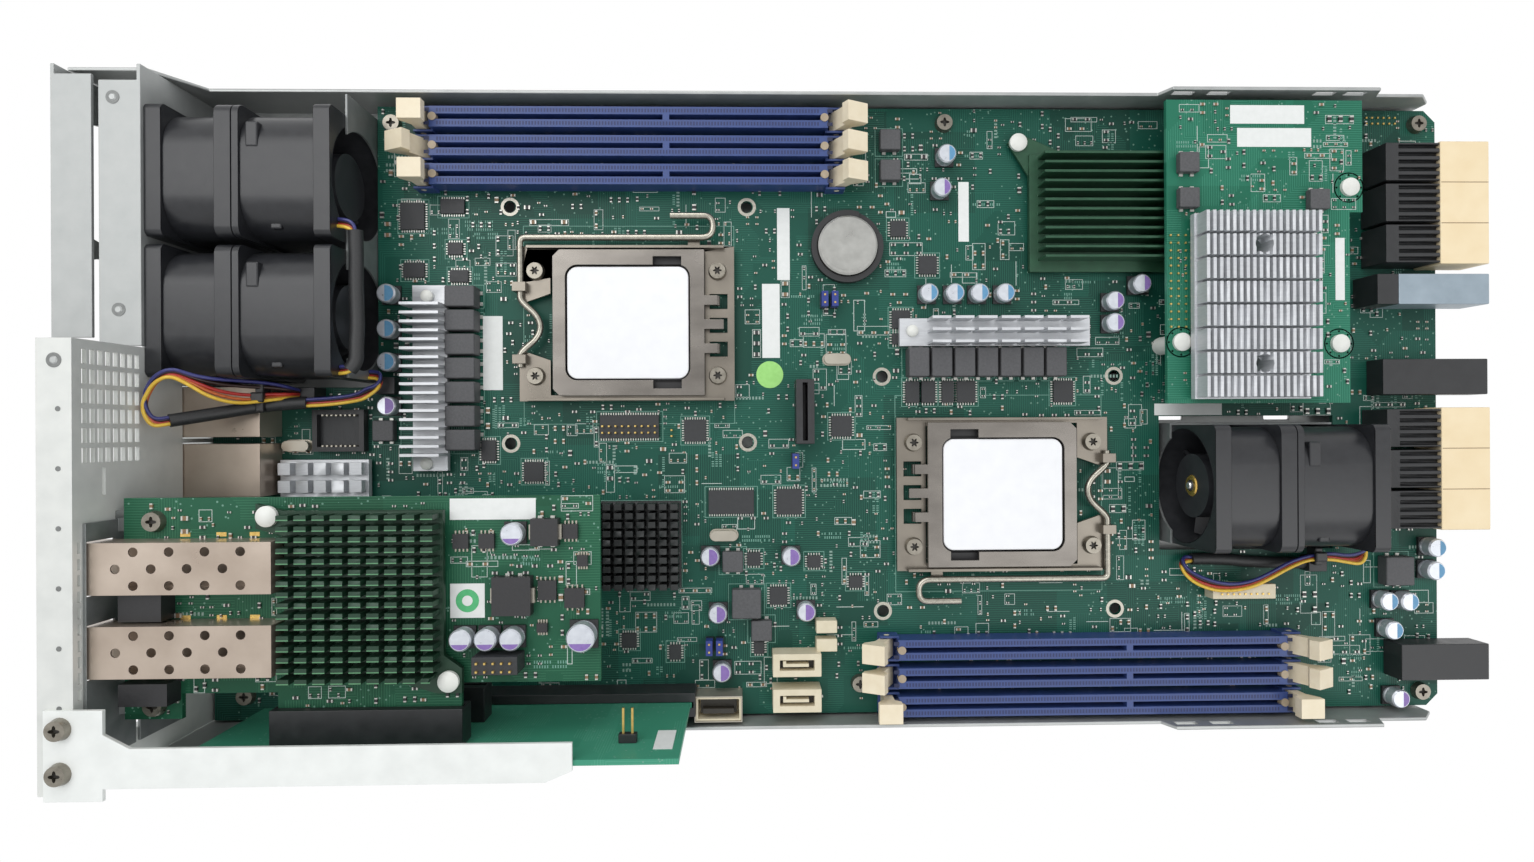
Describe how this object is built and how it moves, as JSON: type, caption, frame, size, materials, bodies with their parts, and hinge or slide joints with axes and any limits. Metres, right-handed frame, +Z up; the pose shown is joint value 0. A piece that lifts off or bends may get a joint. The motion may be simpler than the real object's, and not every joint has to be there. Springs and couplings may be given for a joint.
{
  "type": "server node tray with main board",
  "caption": "Open server node tray with main board, processor sockets, memory sockets, fans, riser with network card and storage card.",
  "frame": {"origin": "middle of the tray's underside, under the middle of the main board", "axes": "+X along the tray towards the plug end, +Y across it towards the upper memory sockets, +Z up out of the tray"},
  "size_m": [0.4568, 0.21, 0.0722],
  "materials": {
    "galvanised_steel": "zinc-coated sheet, soft satin",
    "bracket_steel": "plain sheet steel, satin",
    "board_green": "dark green solder mask, semi-gloss",
    "screw_steel": "nickel-plated",
    "socket_blue": "moulded blue plastic",
    "contact_black": "black moulded plastic",
    "stainless": "stamped stainless, satin",
    "wire_steel": "drawn wire, bright",
    "cover_white": "white moulded plastic",
    "bare_aluminium": "extruded, plain",
    "green_anodised": "green anodised",
    "black_anodised": "black anodised",
    "ferrite_grey": "pressed grey powder",
    "can_aluminium": "bright can",
    "chip_black": "moulded epoxy",
    "cell_steel": "bright steel can",
    "nylon_white": "white nylon",
    "cage_steel": "nickel-plated sheet",
    "slot_black": "black moulded plastic",
    "wafer_beige": "beige moulded plastic",
    "guide_metal": "cast metal, grey-blue",
    "connector_cream": "cream moulded plastic",
    "latch_ivory": "ivory moulded plastic",
    "fan_black": "black moulded plastic",
    "cable_black": "flexible insulation"
  },
  "bodies": {
    "tray": {"backplane_connectors": "slot_black", "battery_holder": "contact_black", "board_heatsinks": "bare_aluminium", "cable_plugs": "slot_black", "capacitors": "can_aluminium", "card_retaining_bar": "galvanised_steel", "card_slots": "slot_black", "chip_packages": "chip_black", "chipset_heatsink": "green_anodised", "connector_wafers": "wafer_beige", "controller_heatsink": "black_anodised", "cpu_socket_bodies": "contact_black", "dimm_sockets": "socket_blue", "fan_1_housing": "fan_black", "fan_2_housing": "fan_black", "fan_3_housing": "fan_black", "fan_cable_front": "cable_black", "fan_cable_rear": "cable_black", "fan_exhaust_panel": "galvanised_steel", "fasteners": "screw_steel", "guide_bar": "guide_metal", "ilm_frames": "stainless", "io_panel": "galvanised_steel", "lan_ports": "cage_steel", "main_board": "board_green", "network_card_board": "board_green", "network_card_heatsink": "green_anodised", "nylon_fasteners": "nylon_white", "power_inductors": "ferrite_grey", "riser_board": "board_green", "sfp_cages": "cage_steel", "sheet_brackets": "bracket_steel", "socket_covers": "cover_white", "storage_card_board": "board_green", "storage_card_heatsink": "bare_aluminium", "tray_pan": "galvanised_steel", "white_connectors": "connector_cream"},
    "body_coin_cell": {"coin_cell": "cell_steel"},
    "body_dimm_latch_01": {"dimm_latch_01": "latch_ivory"},
    "body_dimm_latch_02": {"dimm_latch_02": "latch_ivory"},
    "body_dimm_latch_03": {"dimm_latch_03": "latch_ivory"},
    "body_dimm_latch_04": {"dimm_latch_04": "latch_ivory"},
    "body_dimm_latch_05": {"dimm_latch_05": "latch_ivory"},
    "body_dimm_latch_06": {"dimm_latch_06": "latch_ivory"},
    "body_dimm_latch_07": {"dimm_latch_07": "latch_ivory"},
    "body_dimm_latch_08": {"dimm_latch_08": "latch_ivory"},
    "body_dimm_latch_09": {"dimm_latch_09": "latch_ivory"},
    "body_dimm_latch_10": {"dimm_latch_10": "latch_ivory"},
    "body_dimm_latch_11": {"dimm_latch_11": "latch_ivory"},
    "body_dimm_latch_12": {"dimm_latch_12": "latch_ivory"},
    "body_fan_1_rotor_a": {"fan_1_rotor_a": "fan_black"},
    "body_fan_1_rotor_b": {"fan_1_rotor_b": "fan_black"},
    "body_fan_2_rotor_a": {"fan_2_rotor_a": "fan_black"},
    "body_fan_2_rotor_b": {"fan_2_rotor_b": "fan_black"},
    "body_fan_3_rotor_a": {"fan_3_rotor_a": "fan_black"},
    "body_fan_3_rotor_b": {"fan_3_rotor_b": "fan_black"},
    "body_load_lever_a": {"load_lever_a": "wire_steel"},
    "body_load_lever_b": {"load_lever_b": "wire_steel"},
    "body_load_plate_a": {"load_plate_a": "stainless"},
    "body_load_plate_b": {"load_plate_b": "stainless"}
  },
  "joints": [
    {"name": "fan_1_spin_a", "type": "hinge", "parent": "tray", "child": "body_fan_1_rotor_a", "pos_m": [-0.1725, 0.0725, 0.0212], "axis": [1, 0, 0], "continuous": true},
    {"name": "fan_1_spin_b", "type": "hinge", "parent": "tray", "child": "body_fan_1_rotor_b", "pos_m": [-0.1725, 0.0725, 0.0212], "axis": [1, 0, 0], "continuous": true},
    {"name": "fan_2_spin_a", "type": "hinge", "parent": "tray", "child": "body_fan_2_rotor_a", "pos_m": [-0.1725, 0.03025, 0.0212], "axis": [1, 0, 0], "continuous": true},
    {"name": "fan_2_spin_b", "type": "hinge", "parent": "tray", "child": "body_fan_2_rotor_b", "pos_m": [-0.1725, 0.03025, 0.0212], "axis": [1, 0, 0], "continuous": true},
    {"name": "fan_3_spin_a", "type": "hinge", "parent": "tray", "child": "body_fan_3_rotor_a", "pos_m": [0.1517, -0.0256, 0.0212], "axis": [1, 0, 0], "continuous": true},
    {"name": "fan_3_spin_b", "type": "hinge", "parent": "tray", "child": "body_fan_3_rotor_b", "pos_m": [0.1517, -0.0256, 0.0212], "axis": [1, 0, 0], "continuous": true},
    {"name": "latch_01_swing", "type": "hinge", "parent": "tray", "child": "body_dimm_latch_01", "pos_m": [-0.1271, 0.0968, 0.0138], "axis": [0, -1, 0], "range_deg": [0, 28]},
    {"name": "latch_02_swing", "type": "hinge", "parent": "tray", "child": "body_dimm_latch_02", "pos_m": [0.0105, 0.0968, 0.0138], "axis": [0, 1, 0], "range_deg": [-28, 0]},
    {"name": "latch_03_swing", "type": "hinge", "parent": "tray", "child": "body_dimm_latch_03", "pos_m": [-0.1271, 0.0874, 0.0138], "axis": [0, -1, 0], "range_deg": [-28, 0]},
    {"name": "latch_04_swing", "type": "hinge", "parent": "tray", "child": "body_dimm_latch_04", "pos_m": [0.0105, 0.0874, 0.0138], "axis": [0, 1, 0], "range_deg": [-28, 0]},
    {"name": "latch_05_swing", "type": "hinge", "parent": "tray", "child": "body_dimm_latch_05", "pos_m": [-0.1271, 0.078, 0.0138], "axis": [0, -1, 0], "range_deg": [0, 28]},
    {"name": "latch_06_swing", "type": "hinge", "parent": "tray", "child": "body_dimm_latch_06", "pos_m": [0.0105, 0.078, 0.0138], "axis": [0, 1, 0], "range_deg": [-28, 0]},
    {"name": "latch_07_swing", "type": "hinge", "parent": "tray", "child": "body_dimm_latch_07", "pos_m": [0.0266, -0.0799, 0.0138], "axis": [0, -1, 0], "range_deg": [-28, 0]},
    {"name": "latch_08_swing", "type": "hinge", "parent": "tray", "child": "body_dimm_latch_08", "pos_m": [0.1642, -0.0799, 0.0138], "axis": [0, 1, 0], "range_deg": [-28, 0]},
    {"name": "latch_09_swing", "type": "hinge", "parent": "tray", "child": "body_dimm_latch_09", "pos_m": [0.0266, -0.0893, 0.0138], "axis": [0, -1, 0], "range_deg": [-28, 0]},
    {"name": "latch_10_swing", "type": "hinge", "parent": "tray", "child": "body_dimm_latch_10", "pos_m": [0.1642, -0.0893, 0.0138], "axis": [0, 1, 0], "range_deg": [-28, 0]},
    {"name": "latch_11_swing", "type": "hinge", "parent": "tray", "child": "body_dimm_latch_11", "pos_m": [0.0266, -0.0987, 0.0138], "axis": [0, -1, 0], "range_deg": [0, 28]},
    {"name": "latch_12_swing", "type": "hinge", "parent": "tray", "child": "body_dimm_latch_12", "pos_m": [0.1642, -0.0987, 0.0138], "axis": [0, 1, 0], "range_deg": [0, 28]},
    {"name": "lever_a_swing", "type": "hinge", "parent": "tray", "child": "body_load_lever_a", "pos_m": [-0.0952, 0.0293, 0.0149], "axis": [0, -1, 0], "range_deg": [0, 135]},
    {"name": "plate_a_swing", "type": "hinge", "parent": "tray", "child": "body_load_plate_a", "pos_m": [-0.03, 0.0293, 0.0149], "axis": [0, 1, 0], "range_deg": [0, 110]},
    {"name": "lever_b_swing", "type": "hinge", "parent": "tray", "child": "body_load_lever_b", "pos_m": [0.1015, -0.0285, 0.0149], "axis": [0, 1, 0], "range_deg": [0, 135]},
    {"name": "plate_b_swing", "type": "hinge", "parent": "tray", "child": "body_load_plate_b", "pos_m": [0.0363, -0.0285, 0.0149], "axis": [0, -1, 0], "range_deg": [0, 110]},
    {"name": "coin_cell_lift", "type": "slide", "parent": "tray", "child": "body_coin_cell", "axis": [0, 0, 1], "range_m": [0, 0.012]}
  ]
}
